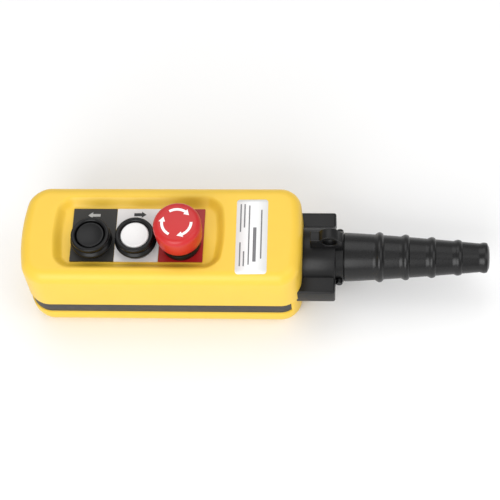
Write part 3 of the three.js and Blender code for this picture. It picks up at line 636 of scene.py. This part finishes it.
class ButtonsOperator(bpy.types.Operator):
    """Makes the bezels and caps of the two push buttons"""
    bl_idname = "station.buttons"
    bl_label = "Push buttons"

    def execute(self, context):
        for name in ("left", "right"):
            x = centre(f"{name}_bezel").x
            base = PLATE_TOP + GAP
            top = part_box(f"{name}_bezel")[1].z - base
            cap_radius = size(f"{name}_cap").x / 2
            bore = cap_radius + 0.4 * MM
            flange = size(f"{name}_bezel").x / 2
            rim = 13.0 * MM
            waist = 12.3 * MM
            foot = 12.0 * MM
            profile = [
                (bore, -BARREL_DEPTH), (BARREL, -BARREL_DEPTH), (BARREL, 0), (foot, 0),
                (flange - 0.5 * MM, 4.4 * MM), (flange - 0.1 * MM, 5.1 * MM), (flange, 5.8 * MM),
                (flange - 0.2 * MM, 6.5 * MM), (flange - 0.8 * MM, 7.1 * MM), (waist, 8.0 * MM),
                (waist, 9.0 * MM), (rim - 0.2 * MM, 9.8 * MM), (rim, 10.6 * MM),
                (rim, top - 1.1 * MM), (rim - 0.35 * MM, top - 0.3 * MM), (rim - 1.0 * MM, top),
                (bore + 0.9 * MM, top - 0.1 * MM), (bore + 0.3 * MM, top - 0.7 * MM), (bore, top - 1.6 * MM),
            ]
            bm = spun(profile, (x, OPERATOR_Y, base), UP, 72)
            finish_mesh(f"{name}_bezel_ring", bm, f"{name}_bezel", MATERIALS["black_plastic"], angle=50)
            cap_low, cap_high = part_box(f"{name}_cap")
            height = cap_high.z - cap_low.z
            cap = [
                (0, height - 0.15 * MM), (cap_radius - 1.7 * MM, height - 0.15 * MM),
                (cap_radius - 1.4 * MM, height), (cap_radius - 0.6 * MM, height - 0.05 * MM),
                (cap_radius, height - 0.7 * MM), (cap_radius, 0), (cap_radius - 1.2 * MM, 0),
                (cap_radius - 1.2 * MM, height - 2 * MM), (0, height - 2 * MM),
            ]
            bm = spun(cap, (x, OPERATOR_Y, cap_low.z), UP, 72, 0.12 * MM)
            finish_mesh(f"{name}_cap_face", bm, f"{name}_cap", MATERIALS[SLOT_OF[f"{name}_cap"]])
        return {"FINISHED"}


class StopOperator(bpy.types.Operator):
    """Makes the emergency stop's collar, mushroom head and turning arrows"""
    bl_idname = "station.stop"
    bl_label = "Emergency stop"

    def execute(self, context):
        low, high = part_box("stop_head")
        x = centre("stop_head").x
        radius = size("stop_head").x / 2
        height = high.z - low.z
        head = [
            (0, height), (radius - 3.6 * MM, height - 0.08 * MM), (radius - 2.4 * MM, height - 0.4 * MM),
            (radius - 1.3 * MM, height - 1.1 * MM), (radius - 0.5 * MM, height - 2.2 * MM),
            (radius - 0.1 * MM, height - 3.4 * MM), (radius, height - 4.6 * MM),
            (radius - 0.4 * MM, 5 * MM), (radius - 0.8 * MM, 0.9 * MM), (radius - 1.4 * MM, 0),
            (radius - 2.6 * MM, 0), (radius - 2.6 * MM, height - 11 * MM), (8.5 * MM, height - 11 * MM),
            (8.5 * MM, 4 * MM), (6.3 * MM, 4 * MM), (6.3 * MM, height - 7 * MM), (0, height - 7 * MM),
        ]
        bm = spun(head, (x, OPERATOR_Y, low.z), UP, 96, 0.2 * MM, 40)
        finish_mesh("stop_mushroom_head", bm, "stop_head", MATERIALS["red_plastic"], angle=50)
        base = PLATE_TOP + GAP
        flange = radius - 2.9 * MM
        inner = radius - 3.8 * MM
        collar = [
            (8.1 * MM, -BARREL_DEPTH), (BARREL, -BARREL_DEPTH), (BARREL, 0), (flange, 0), (flange, 3.1 * MM),
            (inner, 4.4 * MM), (inner, 12 * MM), (9.3 * MM, 12 * MM), (9.3 * MM, 4 * MM), (8.1 * MM, 4 * MM),
        ]
        bm = spun(collar, (x, OPERATOR_Y, base), UP, 72, 0.25 * MM)
        finish_mesh("stop_collar_ring", bm, "stop_collar", MATERIALS["black_plastic"])
        self.arrows(x, high.z - 0.02 * MM)
        return {"FINISHED"}

    def arrows(self, x, z):
        ring, stroke, wide, point = 9.7 * MM, 1.8 * MM, 4.3 * MM, 3.7 * MM
        lift = 0.08 * MM
        sweep = radians(88) - point / ring
        bm = bmesh.new()
        hub = Vector((x, OPERATOR_Y, z))
        for tail in (122, 2, -118):
            start = radians(tail)
            ray = Vector((cos(start), sin(start), 0))
            ends = [bm.verts.new(hub + ray * r) for r in (ring - stroke / 2, ring + stroke / 2)]
            edge = bm.edges.new(ends)
            bmesh.ops.spin(bm, geom=ends + [edge], cent=hub, axis=UP, angle=-sweep, steps=14)
            stop = start - sweep
            tip = stop - point / ring
            corners = [(ring - wide / 2, stop), (ring, tip), (ring + wide / 2, stop)]
            verts = [bm.verts.new(hub + Vector((cos(a), sin(a), 0)) * r) for r, a in corners]
            bm.faces.new(verts)
        bmesh.ops.recalc_face_normals(bm, faces=bm.faces)
        for face in bm.faces:
            if face.normal.z < 0:
                face.normal_flip()
        made = bmesh.ops.extrude_face_region(bm, geom=list(bm.faces), use_keep_orig=True)["geom"]
        verts = [g for g in made if isinstance(g, bmesh.types.BMVert)]
        bmesh.ops.translate(bm, verts=verts, vec=UP * lift)
        bmesh.ops.recalc_face_normals(bm, faces=bm.faces)
        detail("stop_arrows", bm, "stop_mushroom", MATERIALS["ink_white"])


class NeckOperator(bpy.types.Operator):
    """Makes the neck with its wings, collar and lug, and the two knurled screws"""
    bl_idname = "station.neck"
    bl_label = "Neck"

    def execute(self, context):
        start = CABLE_X - 5 * MM
        wing_end = MOUTH_X - 5.4 * MM
        half_y, half_z = 30.6 * MM, 7.3 * MM
        bm = bmesh.new()
        box_at(bm, (start, -half_y, AXIS_Z - half_z), (wing_end, half_y, AXIS_Z + half_z), 1.5 * MM)
        origin = (0, 0, AXIS_Z)
        seat = MOUTH_X - 11.3 * MM
        profile = [
            (PASSAGE, start), (THROAT, start), (THROAT, wing_end), (COLLAR, wing_end),
            (COLLAR, MOUTH_X), (COLLAR_BORE, MOUTH_X), (COLLAR_BORE, seat), (PASSAGE, seat),
        ]
        turned = spun(profile, origin, (1, 0, 0), 96, 0.5 * MM)
        turned_mesh = bpy.data.meshes.new("turned")
        turned.to_mesh(turned_mesh)
        turned.free()
        bm.from_mesh(turned_mesh)
        bpy.data.meshes.remove(turned_mesh)
        self.lug(bm)
        finish_mesh("neck_moulding", bm, "neck_housing", MATERIALS["black_plastic"])
        for i in (1, 2):
            node_name = f"boot_screw_{i}"
            screw_low, screw_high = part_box(node_name)
            middle = centre(node_name)
            side = 1 if middle.y > 0 else -1
            reach = max(abs(screw_low.y), abs(screw_high.y))
            radius = size(node_name).x / 2
            head = [
                (0, reach), (radius - 0.4 * MM, reach), (radius, reach - 0.4 * MM),
                (radius, reach - 2.6 * MM), (radius - 0.3 * MM, reach - 3 * MM), (1.9 * MM, reach - 3 * MM),
                (1.9 * MM, reach - 5.6 * MM), (0, reach - 5.6 * MM),
            ]
            bm = spun(head, (middle.x, 0, middle.z), (0, side, 0), 24, 0.0)
            finish_mesh(f"boot_pin_{i}", bm, node_name, MATERIALS["black_plastic"], angle=20)
        return {"FINISHED"}

    def lug(self, bm):
        half = 3.75 * MM
        hole_x, hole_z = MOUTH_X - 9 * MM, AXIS_Z + 28 * MM
        arch = 7.4 * MM
        shelf = 3 * MM
        start = asin(shelf / arch)
        left = MOUTH_X - 22 * MM
        foot = AXIS_Z + 16 * MM
        outline = [(left, foot), (MOUTH_X - 0.2 * MM, foot), (MOUTH_X - 0.2 * MM, hole_z + 1.3 * MM)]
        steps = 14
        for i in range(steps + 1):
            angle = start + (pi - 2 * start) * i / steps
            outline.append((hole_x + arch * cos(angle), hole_z + arch * sin(angle)))
        outline.append((left, hole_z + shelf))
        before = set(bm.faces)
        verts = [bm.verts.new((px, -half, pz)) for px, pz in outline]
        edges = [bm.edges.new(pair) for pair in zip(verts, verts[1:] + verts[:1])]
        made = bmesh.ops.create_circle(
            bm, segments=32, radius=4.5 * MM,
            matrix=Matrix.Translation((hole_x, -half, hole_z)) @ Matrix.Rotation(pi / 2, 4, "X"))
        edges += list({e for v in made["verts"] for e in v.link_edges})
        filled = bmesh.ops.triangle_fill(bm, edges=edges, use_beauty=True, normal=(0, -1, 0))
        faces = [g for g in filled["geom"] if isinstance(g, bmesh.types.BMFace)]
        grown = bmesh.ops.extrude_face_region(bm, geom=faces, use_keep_orig=True)["geom"]
        lifted = [g for g in grown if isinstance(g, bmesh.types.BMVert)]
        bmesh.ops.translate(bm, verts=lifted, vec=(0, 2 * half, 0))
        added = [f for f in bm.faces if f not in before]
        bmesh.ops.recalc_face_normals(bm, faces=added)
        sharp = list({e for f in added for e in f.edges
                      if len(e.link_faces) == 2 and e.calc_face_angle(0) > radians(40)})
        bmesh.ops.bevel(
            bm, geom=sharp, offset=0.6 * MM, offset_type="OFFSET", segments=3, profile=0.5,
            affect="EDGES", clamp_overlap=True, material=-1)


class BootOperator(bpy.types.Operator):
    """Makes the ribbed rubber boot"""
    bl_idname = "station.boot"
    bl_label = "Cable boot"

    def execute(self, context):
        long = (TIP_X - MOUTH_X) / MM

        base, taper, bend = 16.75, 7.5, 1.2
        root, root_depth = 14.5, 11
        first_rib, rib_pitch, rib_count = 24.6, 17.7, 5

        def radius(x):
            return base - taper * (max(0.0, x) / long) ** bend

        ribs = [first_rib + rib_pitch * i for i in range(rib_count)]
        outer = [(-root_depth, root), (0.3, root), (0.3, 16.2), (0.8, base)]
        reach = 2.3
        x = 2.0
        while x < long - 1.2:
            swell = 0.0
            for rib in ribs:
                offset = (x - rib) / reach
                if abs(offset) < 1:
                    swell = (2.1 - 1.25 * rib / long) * sqrt(1 - offset ** 2)
            outer.append((x, radius(x) + swell))
            x += 0.45 if any(abs(x - rib) < reach + 0.6 for rib in ribs) else 1.6
        outer += [(long - 0.5, 8.2), (long, 7.2)]
        inner = [(long, 4.95), (0, 12.45), (-root_depth, 12.45)]
        points = [(r * MM, MOUTH_X + h * MM) for h, r in outer + inner]
        bm = spun(points, (0, 0, AXIS_Z), (1, 0, 0), 96)
        finish_mesh("ribbed_boot", bm, "cable_boot", MATERIALS["boot_rubber"], angle=40)
        return {"FINISHED"}


class StageOperator(bpy.types.Operator):
    """Makes the floor, the lights and the camera"""
    bl_idname = "station.stage"
    bl_label = "Stage"

    def execute(self, context):
        scene = context.scene
        bm = bmesh.new()
        bmesh.ops.create_grid(bm, x_segments=1, y_segments=1, size=4)
        mesh = bpy.data.meshes.new("floor")
        bm.to_mesh(mesh)
        bm.free()
        floor = bpy.data.objects.new("floor", mesh)
        scene.collection.objects.link(floor)
        floor_material = finish_material("Paper pale", linear("F4F4F4"), 0.9, 3, 0.0, 0.0)
        mesh.materials.append(floor_material)
        world = bpy.data.worlds.new("studio")
        world.use_nodes = True
        world.node_tree.nodes["Background"].inputs["Color"].default_value = (1, 1, 1, 1)
        world.node_tree.nodes["Background"].inputs["Strength"].default_value = 0.62
        scene.world = world
        scene.view_settings.view_transform = "Standard"
        for name, place, wide, power in (
            ("key", (-0.25, -1.0, 0.7), 0.9, 9.5),
            ("fill", (0.7, -0.2, 0.9), 0.8, 2.6),
            ("top", (-0.1, 0.6, 1.2), 1.0, 4.2),
        ):
            lamp = bpy.data.lights.new(name, "AREA")
            lamp.energy = power
            lamp.size = wide
            light = bpy.data.objects.new(name, lamp)
            light.location = place
            aim = Vector((-0.02, 0, 0.04)) - Vector(place)
            light.rotation_euler = aim.to_track_quat("-Z", "Y").to_euler()
            scene.collection.objects.link(light)
        self.camera(scene)
        return {"FINISHED"}

    def camera(self, scene):
        azimuth, elevation, roll = radians(10.2254), radians(62.595), radians(-8.7823)
        back = Vector((sin(azimuth) * cos(elevation), -cos(azimuth) * cos(elevation), sin(elevation)))
        right = Vector((cos(azimuth), sin(azimuth), 0))
        up = back.cross(right)
        turned_right = right * cos(roll) + up * sin(roll)
        turned_up = up * cos(roll) - right * sin(roll)
        target = Vector((centre("right_nut").x + 2 * PITCH, 0, PLATE_TOP))
        place = target + back * 1.1 + turned_right * 15.87 * MM - turned_up * 9.736 * MM
        data = bpy.data.cameras.new("camera")
        data.lens = 118.2
        data.sensor_width = 36
        camera = bpy.data.objects.new("camera", data)
        camera.matrix_world = Matrix.Translation(place) @ Matrix(
            (turned_right, turned_up, back)).transposed().to_4x4()
        scene.collection.objects.link(camera)
        scene.camera = camera


class StationPanel(bpy.types.Panel):
    """Lists the pieces of the station"""
    bl_idname = "VIEW3D_PT_station"
    bl_label = "Pendant control station"
    bl_space_type = "VIEW_3D"
    bl_region_type = "UI"
    bl_category = "Station"

    def draw(self, context):
        for group in (context.scene.station_sizes, context.scene.station_colours):
            for name in group.__annotations__:
                self.layout.prop(group, name)
        for operator in OPERATORS:
            self.layout.operator(operator.bl_idname)


OPERATORS = (
    MaterialsOperator, CoversOperator, SealOperator, LabelOperator, PlatesOperator, ButtonsOperator,
    StopOperator, NeckOperator, BootOperator, StageOperator,
)
CLASSES = (StationSizes, StationColours, *OPERATORS, StationPanel)


def register():
    for item in CLASSES:
        bpy.utils.register_class(item)
    bpy.types.Scene.station_sizes = bpy.props.PointerProperty(type=StationSizes)
    bpy.types.Scene.station_colours = bpy.props.PointerProperty(type=StationColours)


def unregister():
    del bpy.types.Scene.station_colours
    del bpy.types.Scene.station_sizes
    for item in reversed(CLASSES):
        bpy.utils.unregister_class(item)


def main():
    register()
    for operator in OPERATORS:
        group, name = operator.bl_idname.split(".")
        getattr(getattr(bpy.ops, group), name)()


if __name__ == "__main__":
    main()
